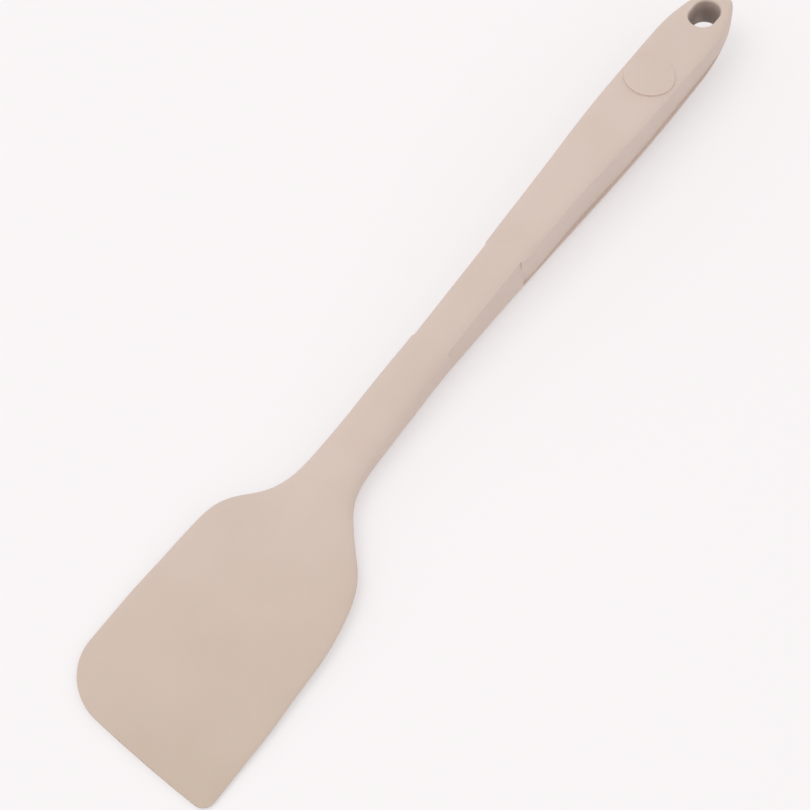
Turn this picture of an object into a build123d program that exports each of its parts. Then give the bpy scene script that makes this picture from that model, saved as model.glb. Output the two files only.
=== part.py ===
from build123d import *
import math
import os

# Seamless kitchen spatula. A silicone skin is moulded in one piece over a stiff nylon core,
# and a steel strip is moulded into the core. Lengths are millimetres.
# The tool is built along X: the blade's tip is at 0, the handle's end is at +X, and the
# parting plane of the mould is Z = 0. It is laid down on its table at the end.

# Overall
overall_length = 290.0
overrun = 3.0
station_spacing = 6.0

# Blade, seen from above
blade_length = 68.0
blade_width = 52.5
blade_offset = 5.05
tip_slant = 6.4
tip_bow = 0.8
round_corner_radius = 17.0
square_corner_radius = 3.5
corner_runout = 0.05
tip_thickness = 1.3
blade_root_thickness = 4.6

# Shoulders and neck
shoulder_length = 32.0
neck_length = 36.0
neck_width = 13.5
neck_front_thickness = 8.2
neck_thickness = 11.3

# Handle, behind the neck
grip_width = 18.8
grip_thickness = 15.9
widest_to_end = 42.0
nose_length = 28.0
nose_thickness = 10.2

# Hanging slot through the handle's end
slot_width = 8.0
slot_length = 11.0
slot_to_end = 12.2
slot_rim_radius = 0.6

# Recessed panel along each side of the handle
panel_to_neck = 3.0
facet_length = 34.7
panel_to_end = 11.0
facet_depth = 1.3
panel_depth = 0.9

# Plain raised pad on the upper face, near the hanging slot
pad_radius = 7.3
pad_height = 0.45
pad_to_end = 42.4

# Silicone over the core
handle_skin = 2.2
slot_wall = 4.6

# Core: a bar through the handle and neck, and a thin paddle in the blade
paddle_to_tip = 29.0
paddle_to_neck = 5.0
paddle_width = 27.0
paddle_thickness = 1.3
paddle_corner_radius = 7.0
paddle_shoulder_radius = 12.0
wedge_width = 6.0
window_radius = 2.6
window_to_front = 8.5
window_pitch = 11.0
window_row_pitch = 12.0
window_columns = 3
window_rows = 2
pocket_to_neck = 4.0
pocket_length = 13.0
pocket_rib = 3.0
pocket_width = 5.2
pocket_corner_radius = 1.5
pocket_to_end = 14.0
locating_hole_radius = 1.6
locating_hole_to_end = 6.5
locating_hole_to_strip = 5.0

# Steel strip in the core
strip_into_shoulder = 8.0
strip_to_core_end = 17.7
strip_width = 6.0
strip_thickness = 1.2
strip_cover = 1.2
strip_hole_radius = 1.3
strip_hole_count = 4

# Places worked out from the sizes above
blade_left = blade_width / 2 - blade_offset
blade_right = -blade_width / 2 - blade_offset
neck_start = blade_length + shoulder_length
grip_start = neck_start + neck_length
grip_widest_at = overall_length - widest_to_end
nose_start = overall_length - nose_length
slot_centre = overall_length - slot_to_end
core_end = slot_centre - slot_length / 2 - slot_wall
panel_start = grip_start + panel_to_neck
panel_nick = panel_start + facet_length
panel_end = overall_length - panel_to_end
paddle_end = neck_start - paddle_to_neck
strip_start = neck_start - strip_into_shoulder
strip_length = core_end - strip_to_core_end - strip_start

# Points of a section's outline, in shares of its half width, and how square the sections are
section_shares = (-0.994, -0.96, -0.88, -0.70, -0.38, 0.0, 0.38, 0.70, 0.88, 0.96, 0.994)
blade_roundness = 3.0
neck_roundness = 2.8
grip_roundness = 5.5
section_height_share = 0.5

# Blade, shoulder and neck: share of the run, then how far the left side, the right side and
# the thickness have gone on their way to the next run's
blade_shares = (
    (-0.08, 0.0, 0.0, 0.0),
    (0.22, 0.0, 0.0, 0.16),
    (0.38, 0.0, 0.0, 0.34),
    (0.53, 0.0, 0.02, 0.48),
    (0.72, 0.035, 0.04, 0.69),
    (0.84, 0.05, 0.085, 0.82),
    (0.93, 0.08, 0.14, 0.92),
)
shoulder_shares = (
    (0.0, 0.13, 0.20, 0.0),
    (0.15, 0.30, 0.305, 0.08),
    (0.30, 0.62, 0.47, 0.22),
    (0.46, 0.845, 0.65, 0.41),
    (0.62, 0.955, 0.81, 0.63),
    (0.80, 0.995, 0.905, 0.82),
)
neck_shares = (
    (0.0, 1.01, 0.945, 0.0),
    (0.30, 1.015, 0.965, 0.32),
    (0.60, 1.0, 0.98, 0.61),
)
# Handle up to its widest place: share of that run, shares of the width and thickness gained
grip_shares = (
    (0.0, 0.0, 0.0),
    (0.20, 0.0, 0.36),
    (0.40, 0.12, 0.717),
    (0.60, 0.42, 0.985),
    (0.80, 0.80, 0.93),
    (1.0, 1.0, 0.55),
)
# Share of that run over which the section turns from the neck's roundness to the handle's
squaring_share = 0.5
# Last bend of the core's bar, in shares of that run
bar_bend_share = 0.60
# Nose: share of its length, share of the thickness lost towards the slot
nose_shares = ((0.04, 0.35), (0.28, 0.60), (0.52, 0.86), (0.72, 1.0))
# Rounded end of the nose, in shares of its length
nose_end_shares = (0.82, 0.90, 0.96, 1.0)
nose_end_start_share = 0.72
nose_blunt_share = 0.992
# Panel along the handle: share of the run behind the nick, share of the depth
panel_shares = ((0.0, 1.0), (0.2, 1.0), (0.4, 1.0), (0.6, 1.0), (0.8, 1.0), (0.9, 0.7), (1.0, 0.0))
panel_crest_share = 0.75
panel_ledge_share = 0.60
# The slot's rim lies beyond this share of the nose's half thickness
rim_share = 0.5
# Paddle of the core: share of its length, share of its width
paddle_shares = ((0.0, 1.0), (0.56, 0.92), (0.90, 0.40), (1.0, 0.38))
wedge_start_share = 0.55
bar_chamfer_share = 0.25


def blend(start, end, share):
    return start + (end - start) * share


def smooth(rows, x):
    """The row at x, on a smooth curve through the rows that never swings past them."""
    places = [row[0] for row in rows]
    last = len(rows) - 1
    at = max(0, min(last - 1, sum(place <= x for place in places) - 1))
    run = places[at + 1] - places[at]
    share = (x - places[at]) / run
    result = [x]
    for column in range(1, len(rows[0])):
        slopes = []
        for knot in (at, at + 1):
            if knot in (0, last):
                near = min(knot, last - 1)
                slopes.append((rows[near + 1][column] - rows[near][column]) / (places[near + 1] - places[near]))
                continue
            before = (rows[knot][column] - rows[knot - 1][column]) / (places[knot] - places[knot - 1])
            after = (rows[knot + 1][column] - rows[knot][column]) / (places[knot + 1] - places[knot])
            slopes.append(2 * before * after / (before + after) if before * after > 0 else 0)
        start, end = rows[at][column], rows[at + 1][column]
        swing = share * (1 - share) * run
        bent = blend(start, end, share ** 2 * (3 - 2 * share))
        result.append(bent + swing * ((1 - share) * slopes[0] - share * slopes[1]))
    return tuple(result)


def section_row(x, left, right, thickness, roundness):
    """Place, offset, width, thickness and roundness of a section between a left and a right side."""
    return x, (left + right) / 2, left - right, thickness, roundness


def knots():
    """The sections that set the tool's shape, from tip to nose."""
    neck_side = neck_width / 2
    runs = (
        (0, blade_length, tip_thickness, blade_root_thickness, blade_roundness, blade_roundness, blade_shares),
        (blade_length, neck_start, blade_root_thickness, neck_front_thickness, blade_roundness, neck_roundness,
         shoulder_shares),
        (neck_start, grip_start, neck_front_thickness, neck_thickness, neck_roundness, neck_roundness, neck_shares),
    )
    rows = []
    for start, end, thin, thick, roundness, next_roundness, shares in runs:
        for run_share, left_share, right_share, gain in shares:
            left = blend(blade_left, neck_side, left_share)
            right = blend(blade_right, -neck_side, right_share)
            square = blend(roundness, next_roundness, run_share)
            rows.append(section_row(blend(start, end, run_share), left, right, blend(thin, thick, gain), square))
    for run_share, width_share, gain in grip_shares:
        x = blend(grip_start, grip_widest_at, run_share)
        thickness = blend(neck_thickness, grip_thickness, gain)
        square = blend(neck_roundness, grip_roundness, min(1, run_share / squaring_share))
        rows.append((x, 0, blend(neck_width, grip_width, width_share), thickness, square))
    for run_share, loss in nose_shares:
        x = nose_start + nose_length * run_share
        rows.append((x, 0, nose_width(run_share), blend(thickness, nose_thickness, loss), grip_roundness))
    return rows


def nose_width(run_share):
    return grip_width * math.sqrt(1 - (nose_blunt_share * run_share) ** 2)


def evened(rows):
    """Evenly spaced sections on the smooth curve through the rows."""
    start, end = rows[0][0], rows[-1][0]
    count = math.ceil((end - start) / station_spacing)
    return [smooth(rows, blend(start, end, step / count)) for step in range(count + 1)]


def body_rows():
    """The tool's sections, with closer ones round the end of the nose."""
    rows = evened(knots())
    for run_share in nose_end_shares:
        turn_share = nose_blunt_share * (run_share - nose_end_start_share) / (1 - nose_end_start_share)
        thickness = nose_thickness * math.sqrt(1 - turn_share ** 2)
        rows.append((nose_start + nose_length * run_share, 0, nose_width(run_share), thickness, grip_roundness))
    return rows


def half_section(width, height, roundness):
    """Points from side to side over a half section; a negative height is the lower half."""
    points = [(-width / 2, 0)]
    for share in section_shares:
        height_share = (1 - abs(share) ** roundness) ** (1 / roundness)
        points.append((width / 2 * share, height * height_share))
    points.append((width / 2, 0))
    return points


def section_places():
    """Where each outline point lies along its curve, alike for all sections so that they loft cleanly."""
    points = half_section(1, section_height_share / 2, blade_roundness)
    places = [0]
    for start, end in zip(points, points[1:]):
        places.append(places[-1] + math.dist(start, end))
    return [place / places[-1] for place in places]


def section(x, offset, width, thickness, roundness):
    """A closed section across the tool: an upper and a lower half that meet at the parting plane."""
    halves = []
    for side in (1, -1):
        points = [Vector(*point) for point in half_section(width, side * thickness / 2, roundness)]
        halves.append(Edge.make_spline(points, parameters=section_places()))
    plane = Plane(origin=(x, offset, 0), x_dir=(0, 1, 0), z_dir=(1, 0, 0))
    return plane * make_face(halves)


def lofted(rows):
    return loft([section(*row) for row in rows])


def upright(sketch, height):
    """A prism of a plan outline, as far above the parting plane as below it."""
    return extrude(sketch, amount=height / 2, both=True)


def tip_cutter():
    """What the mould leaves off in front of the slanted tip and its two corners."""
    near_y = blade_right - corner_runout
    far_y = blade_left + corner_runout
    edge = ThreePointArc((0, near_y), (tip_slant / 2 - tip_bow, -blade_offset), (tip_slant, far_y))
    side = Polyline((tip_slant, far_y), (blade_length, far_y), (blade_length, near_y), (0, near_y))
    kept = make_face([edge, side])
    kept = fillet(kept.vertices().sort_by(Axis.X)[0], square_corner_radius)
    far_corner = kept.vertices().group_by(Axis.Y)[-1].sort_by(Axis.X)[0]
    kept = fillet(far_corner, round_corner_radius)
    front = tip_slant + round_corner_radius
    around = Pos(0, -blade_offset) * Rectangle(2 * front, blade_width + 2 * overrun)
    return upright(around - kept, grip_thickness)


def panel_face(side, row, upper, lower):
    """A slice of the panel's cutter: its inner wall leans from the upper to the lower depth."""
    x, offset, width, thickness, roundness = row
    half = width / 2
    top = grip_thickness / 2 + overrun
    crest = panel_crest_share * thickness / 2
    ledge = -panel_ledge_share * thickness / 2
    outside = half + overrun
    points = [(half - upper, crest), (half - upper, top), (outside, top), (outside, ledge), (half - lower, ledge)]
    plane = Plane(origin=(x, 0, 0), x_dir=(0, side, 0), z_dir=(side, 0, 0))
    return plane * make_face(Polyline(*points, close=True))


def panel_cutter(side):
    """The recess in one side of the handle: a leaning facet in front, a ledged panel behind the nick."""
    shape = body_rows()
    front = []
    for x in (panel_start, panel_nick):
        front.append(panel_face(side, smooth(shape, x), facet_depth, 0))
    rear = []
    for run_share, depth_share in panel_shares:
        x = blend(panel_nick, panel_end, run_share)
        depth = panel_depth * depth_share
        rear.append(panel_face(side, smooth(shape, x), depth, depth))
    return [loft(front), loft(rear)]


def raised_pad(body):
    """A plain round pad that follows the crown of the handle's upper face."""
    disc = Pos(overall_length - pad_to_end, 0) * Circle(pad_radius)
    return Pos(0, 0, pad_height) * body & extrude(disc, amount=grip_thickness)


def slot_cutter():
    return upright(Pos(slot_centre, 0) * SlotOverall(slot_length, slot_width), grip_thickness)


def outer_body():
    """The whole outside of the tool, as the mould shapes it."""
    cutters = [tip_cutter(), slot_cutter(), *panel_cutter(1), *panel_cutter(-1)]
    body = lofted(body_rows())
    body = body + raised_pad(body) - cutters
    rims = []
    for edge in body.edges():
        middle = edge.center()
        if abs(middle.X - slot_centre) <= slot_length / 2 and abs(middle.Y) <= slot_width / 2:
            if abs(middle.Z) > rim_share * nose_thickness / 2:
                rims.append(edge)
    return fillet(rims, slot_rim_radius)


def paddle():
    """The thin plate in the blade, rounded in front, that narrows towards the neck."""
    shape = knots()
    near, far = [], []
    for run_share, width_share in paddle_shares:
        x = blend(paddle_to_tip, paddle_end, run_share)
        middle = smooth(shape, x)[1]
        near.append((x, middle - paddle_width / 2 * width_share))
        far.append((x, middle + paddle_width / 2 * width_share))
    outline = make_face(Polyline(*near, *reversed(far), close=True))
    outline = fillet(outline.vertices().group_by(Axis.X)[0], paddle_corner_radius)
    shoulder = [corner for corner in outline.vertices() if near[1][0] <= corner.X <= near[2][0]]
    return upright(fillet(shoulder, paddle_shoulder_radius), paddle_thickness)


def bar():
    """The stiff bar: a wedge that rises out of the paddle, then a bar that keeps under the skin."""
    shape = knots()
    wedge_start = blend(paddle_to_tip, paddle_end, wedge_start_share)
    bend = blend(grip_start, grip_widest_at, bar_bend_share)
    rows = [(wedge_start, smooth(shape, wedge_start)[1], wedge_width, paddle_thickness)]
    for x in (paddle_end, grip_start, bend, grip_widest_at, core_end):
        offset, width, thickness = smooth(shape, x)[1:4]
        rows.append((x, offset, width - 2 * handle_skin, thickness - 2 * handle_skin))
    faces = []
    for x, offset, width, thickness in rows:
        plane = Plane(origin=(x, offset, 0), x_dir=(0, 1, 0), z_dir=(1, 0, 0))
        outline = Rectangle(width, thickness)
        faces.append(plane * chamfer(outline.vertices(), bar_chamfer_share * thickness))
    return loft(faces, ruled=True)


def paddle_windows():
    """Holes through the paddle that the blade's two faces grow together through."""
    holes = []
    for column in range(window_columns):
        for row in range(window_rows):
            x = paddle_to_tip + window_to_front + window_pitch * column
            y = -blade_offset + window_row_pitch * (row - (window_rows - 1) / 2)
            holes.append(upright(Pos(x, y) * Circle(window_radius), grip_thickness))
    return holes


def bar_pockets():
    """Pockets in the top and bottom of the bar; the web between them holds the strip."""
    floor = strip_thickness / 2 + strip_cover
    first = grip_start + pocket_to_neck
    pitch = pocket_length + pocket_rib
    count = int((core_end - pocket_to_end - first + pocket_rib) / pitch)
    pockets = []
    for step in range(count):
        x = first + pocket_length / 2 + pitch * step
        outline = RectangleRounded(pocket_length, pocket_width, pocket_corner_radius)
        for side in (1, -1):
            pockets.append(extrude(Pos(x, 0, side * floor) * outline, amount=side * grip_thickness))
    return pockets


def locating_holes():
    """Holes for the pins that hold the core in the middle of the mould."""
    holes = []
    for x in (strip_start - locating_hole_to_strip, core_end - locating_hole_to_end):
        holes.append(upright(Pos(x, 0) * Circle(locating_hole_radius), grip_thickness))
    return holes


def core_blank():
    """The core with its holes and pockets, before the strip's place is taken out."""
    return paddle() + bar() - [*paddle_windows(), *bar_pockets(), *locating_holes()]


def steel_strip():
    strip = upright(SlotOverall(strip_length, strip_width), strip_thickness)
    pitch = strip_length / strip_hole_count
    for step in range(strip_hole_count):
        x = pitch * (step - (strip_hole_count - 1) / 2)
        strip -= upright(Pos(x, 0) * Circle(strip_hole_radius), grip_thickness)
    return Pos(strip_start + strip_length / 2, 0) * strip


def resting(pieces):
    """The pieces laid down on the table: the tip's lower edge and the handle's underside touch it."""
    shape = knots()
    slope = max((row[3] - tip_thickness) / 2 / row[0] for row in shape if row[0] > blade_length)
    tilt = Rot(0, -math.degrees(math.atan(slope)), 0)
    box = (tilt * pieces["silicone_skin"]).bounding_box()
    down = Pos(-(box.min.X + box.max.X) / 2, -(box.min.Y + box.max.Y) / 2, -box.min.Z)
    return {name: down * tilt * piece for name, piece in pieces.items()}


def build():
    blank = core_blank()
    strip = steel_strip()
    pieces = {"silicone_skin": outer_body() - blank, "nylon_core": blank - strip, "steel_strip": strip}
    os.makedirs("parts", exist_ok=True)
    for name, piece in resting(pieces).items():
        solid = piece.solid()
        solid.label = name
        export_step(solid, f"parts/{name}.step")


if __name__ == "__main__":
    build()
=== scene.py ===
import bpy
import math
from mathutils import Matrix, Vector


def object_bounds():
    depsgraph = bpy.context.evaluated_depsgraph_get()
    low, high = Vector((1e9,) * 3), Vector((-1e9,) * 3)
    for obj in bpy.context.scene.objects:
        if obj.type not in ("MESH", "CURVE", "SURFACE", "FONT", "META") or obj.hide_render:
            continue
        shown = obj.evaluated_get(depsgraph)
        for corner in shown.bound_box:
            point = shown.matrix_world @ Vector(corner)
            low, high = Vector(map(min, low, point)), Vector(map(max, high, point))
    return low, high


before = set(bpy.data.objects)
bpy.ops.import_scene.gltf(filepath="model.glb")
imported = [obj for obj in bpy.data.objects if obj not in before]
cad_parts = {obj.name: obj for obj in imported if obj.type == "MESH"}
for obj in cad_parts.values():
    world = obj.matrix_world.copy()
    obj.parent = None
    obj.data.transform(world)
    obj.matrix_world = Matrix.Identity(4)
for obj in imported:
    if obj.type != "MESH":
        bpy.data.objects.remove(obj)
before = [list(map(float, corner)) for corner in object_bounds()]

# Silicone: its two clouded shades, and the painted shade they are multiplied by at the blade's
# square corner and deep in the slot
SILICONE_SHADES = ((0.630, 0.513, 0.447, 1), (0.655, 0.536, 0.472, 1))
BLADE_PAINTED_SHADE = (0.885, 0.880, 0.815, 1)
SLOT_PAINTED_SHADE = (0.57, 0.57, 0.58, 1)

# The blade's painted shade fades out over this reach from its square corner, along X and Y
# together
BLADE_SHADE_REACH = 0.13

# The hanging slot's centre in plan, and half its length and width
SLOT_CENTRE = (0.13259, 0.00504)
SLOT_HALVES = (0.0055, 0.0040)

# The slot's painted shade fades out between these distances from its centre, where its wall is at
# 1, and fades in on the way down between these heights
SLOT_FADE = (1.05, 1.14)
SLOT_HEIGHTS = (0.0175, 0.0115)

NYLON_SHADES = ((0.70, 0.67, 0.61, 1), (0.78, 0.75, 0.70, 1))
STEEL_COLOUR = (0.56, 0.56, 0.57, 1)

# The sheet under the tool: its side and colour, the colour of the light that seems to come from
# behind it, and how much of its look that light makes up
SHEET_SIDE = 6.0
SHEET_COLOUR = (0.90, 0.885, 0.89, 1)
GLOW_COLOUR = (0.960, 0.925, 0.935, 1)
GLOW_SHARE = 0.45

KEY_PLACE, KEY_SIZE, KEY_POWER = (-0.30, 0.55, 1.35), 1.1, 3.6
SKY_COLOUR, SKY_STRENGTH = (1.0, 0.99, 0.99, 1), 0.91

# Camera, fitted to the photo: its direction and distance from the point that it looks at, and its
# focal length in pixels of a picture of this width
AZIMUTH, ELEVATION, DISTANCE = math.radians(-54.5), math.radians(57.0), 0.6455
TARGET = Vector((-0.0207, 0.0032, 0.0))
SENSOR_WIDTH, FOCAL_PIXELS, PICTURE_PIXELS = 36.0, 2400, 810


def node_tree(name):
    material = bpy.data.materials.new(name)
    material.use_nodes = True
    tree = material.node_tree
    tree.nodes.clear()
    return material, tree


def add(tree, kind, inputs, **settings):
    """A new node. Each socket named in inputs gets its constant, or a link from another node."""
    node = tree.nodes.new(kind)
    for name, value in settings.items():
        setattr(node, name, value)
    for name, value in inputs.items():
        if isinstance(value, bpy.types.NodeSocket):
            tree.links.new(value, node.inputs[name])
        else:
            node.inputs[name].default_value = value
    return node.outputs


def noise(tree, place, scale, detail, roughness=0.5):
    inputs = {"Vector": place, "Scale": scale, "Detail": detail, "Roughness": roughness}
    return add(tree, "ShaderNodeTexNoise", inputs)["Fac"]


def ramp(tree, value, low, high, out_low, out_high):
    inputs = {"Value": value, "From Min": low, "From Max": high, "To Min": out_low,
              "To Max": out_high}
    return add(tree, "ShaderNodeMapRange", inputs)["Result"]


def maths(tree, operation, first, second):
    return add(tree, "ShaderNodeMath", {0: first, 1: second}, operation=operation)["Value"]


def blend(tree, first, second, share, kind="MIX"):
    inputs = {"A": first, "B": second, "Factor": share}
    return add(tree, "ShaderNodeMix", inputs, data_type="RGBA", blend_type=kind)["Result"]


def scaled(tree, place, scale, shift=(0, 0, 0)):
    inputs = {"Vector": place, "Scale": scale, "Location": shift}
    return add(tree, "ShaderNodeMapping", inputs)["Vector"]


def relief(tree, height, strength, depth):
    inputs = {"Height": height, "Strength": strength, "Distance": depth}
    return add(tree, "ShaderNodeBump", inputs)["Normal"]


def surface(tree, inputs):
    return add(tree, "ShaderNodeBsdfPrincipled", inputs)["BSDF"]


def show(tree, shader):
    add(tree, "ShaderNodeOutputMaterial", {"Surface": shader})


def silicone():
    """Matte moulded silicone: very fine grain, faint clouding, a soft glow at grazing angles."""
    material, tree = node_tree("silicone")
    place = add(tree, "ShaderNodeTexCoord", {})["Object"]
    cloud = noise(tree, place, 38.0, 3.0)
    grain = noise(tree, place, 2600.0, 2.0)
    dust = noise(tree, place, 900.0, 2.0, 0.6)
    shade = blend(tree, *SILICONE_SHADES, ramp(tree, cloud, 0.35, 0.65, 0.0, 1.0))

    # Painted shade: the blade is made a little deeper and warmer towards its square corner, where
    # less light falls
    along = add(tree, "ShaderNodeSeparateXYZ", {"Vector": place})
    corner = before[0][0] + before[0][1]
    slanted = maths(tree, "ADD", along["X"], along["Y"])
    corner_shade_share = ramp(tree, slanted, corner, corner + BLADE_SHADE_REACH, 1.0, 0.0)
    shade = blend(tree, shade, BLADE_PAINTED_SHADE, corner_shade_share, "MULTIPLY")

    # Painted shade: the slot's wall is made darker with depth, where less light reaches
    (centre_x, centre_y), (half_x, half_y) = SLOT_CENTRE, SLOT_HALVES
    around = scaled(tree, place, (1 / half_x, 1 / half_y, 0),
                    (-centre_x / half_x, -centre_y / half_y, 0))
    reach = add(tree, "ShaderNodeVectorMath", {0: around}, operation="LENGTH")["Value"]
    in_slot = ramp(tree, reach, *SLOT_FADE, 1.0, 0.0)
    in_depth = ramp(tree, along["Z"], *SLOT_HEIGHTS, 0.0, 1.0)
    shade = blend(tree, shade, SLOT_PAINTED_SHADE, maths(tree, "MULTIPLY", in_slot, in_depth), "MULTIPLY")

    show(tree, surface(tree, {
        "Base Color": shade,
        "Roughness": ramp(tree, dust, 0.3, 0.7, 0.55, 0.68),
        "Specular IOR Level": 0.35,
        "Subsurface Weight": 0.12,
        "Subsurface Radius": (1.0, 0.6, 0.4),
        "Subsurface Scale": 0.0015,
        "Sheen Weight": 0.08,
        "Sheen Roughness": 0.5,
        "Normal": relief(tree, grain, 0.12, 0.00006)}))
    return material


def nylon():
    """Glass-filled nylon: off-white, with short fibres just under its skin."""
    material, tree = node_tree("nylon")
    place = add(tree, "ShaderNodeTexCoord", {})["Object"]
    fibres = noise(tree, scaled(tree, place, (0.2, 1.0, 1.0)), 1800.0, 3.0, 0.7)
    show(tree, surface(tree, {
        "Base Color": blend(tree, *NYLON_SHADES, ramp(tree, fibres, 0.4, 0.6, 0.0, 1.0)),
        "Roughness": ramp(tree, fibres, 0.3, 0.7, 0.42, 0.6),
        "Normal": relief(tree, fibres, 0.2, 0.0001)}))
    return material


def rolled_steel():
    """Spring steel with rolling lines along its length."""
    material, tree = node_tree("spring_steel")
    place = add(tree, "ShaderNodeTexCoord", {})["Object"]
    lines = noise(tree, scaled(tree, place, (0.03, 1.0, 1.0)), 4200.0, 4.0, 0.7)
    show(tree, surface(tree, {
        "Base Color": STEEL_COLOUR,
        "Metallic": 1.0,
        "Roughness": ramp(tree, lines, 0.3, 0.7, 0.24, 0.42),
        "Normal": relief(tree, lines, 0.15, 0.00005)}))
    return material


def pale_sheet():
    """Matt paper, backlit a little where seen directly or mirrored, so its shadow is soft."""
    material, tree = node_tree("pale_sheet")
    paper = surface(tree, {
        "Base Color": SHEET_COLOUR,
        "Roughness": 0.9,
        "Specular IOR Level": 0.1})
    glow = add(tree, "ShaderNodeEmission", {"Color": GLOW_COLOUR})["Emission"]
    rays = add(tree, "ShaderNodeLightPath", {})
    seen = maths(tree, "MAXIMUM", rays["Is Camera Ray"], rays["Is Glossy Ray"])
    share = ramp(tree, seen, 0.0, 1.0, 0.0, GLOW_SHARE)
    show(tree, add(tree, "ShaderNodeMixShader", {"Fac": share, 1: paper, 2: glow})["Shader"])
    return material


def dress(node, material):
    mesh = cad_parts[node].data
    mesh.materials.clear()
    mesh.materials.append(material)


def studio_floor():
    """A pale sheet the tool lies on, big enough to fill the view."""
    bpy.ops.mesh.primitive_plane_add(size=SHEET_SIDE, location=(0, 0, 0))
    floor = bpy.context.object
    floor.name = "floor"
    floor.data.materials.append(pale_sheet())


def placed(name, data):
    thing = bpy.data.objects.new(name, data)
    bpy.context.collection.objects.link(thing)
    return thing


def key_light():
    """A large soft lamp that faces the tool."""
    data = bpy.data.lights.new("key", "AREA")
    data.shape = "DISK"
    data.size = KEY_SIZE
    data.energy = KEY_POWER
    lamp = placed("key", data)
    lamp.location = KEY_PLACE
    lamp.rotation_euler = (-Vector(KEY_PLACE)).to_track_quat("-Z", "Y").to_euler()


def sky_light():
    """Even light from all around."""
    world = bpy.data.worlds.new("studio")
    bpy.context.scene.world = world
    world.use_nodes = True
    background = world.node_tree.nodes["Background"]
    background.inputs["Color"].default_value = SKY_COLOUR
    background.inputs["Strength"].default_value = SKY_STRENGTH


def photo_camera():
    """The photo's camera."""
    level = math.cos(ELEVATION)
    away = Vector((math.sin(AZIMUTH) * level, -math.cos(AZIMUTH) * level, math.sin(ELEVATION)))
    camera = placed("camera", bpy.data.cameras.new("camera"))
    camera.location = TARGET + away * DISTANCE
    camera.rotation_euler = away.to_track_quat("Z", "Y").to_euler()
    camera.data.sensor_width = SENSOR_WIDTH
    camera.data.lens = SENSOR_WIDTH * FOCAL_PIXELS / PICTURE_PIXELS
    bpy.context.scene.camera = camera
    bpy.context.scene.view_settings.view_transform = "Standard"


dress("silicone_skin", silicone())
dress("nylon_core", nylon())
dress("steel_strip", rolled_steel())
studio_floor()
key_light()
sky_light()
photo_camera()
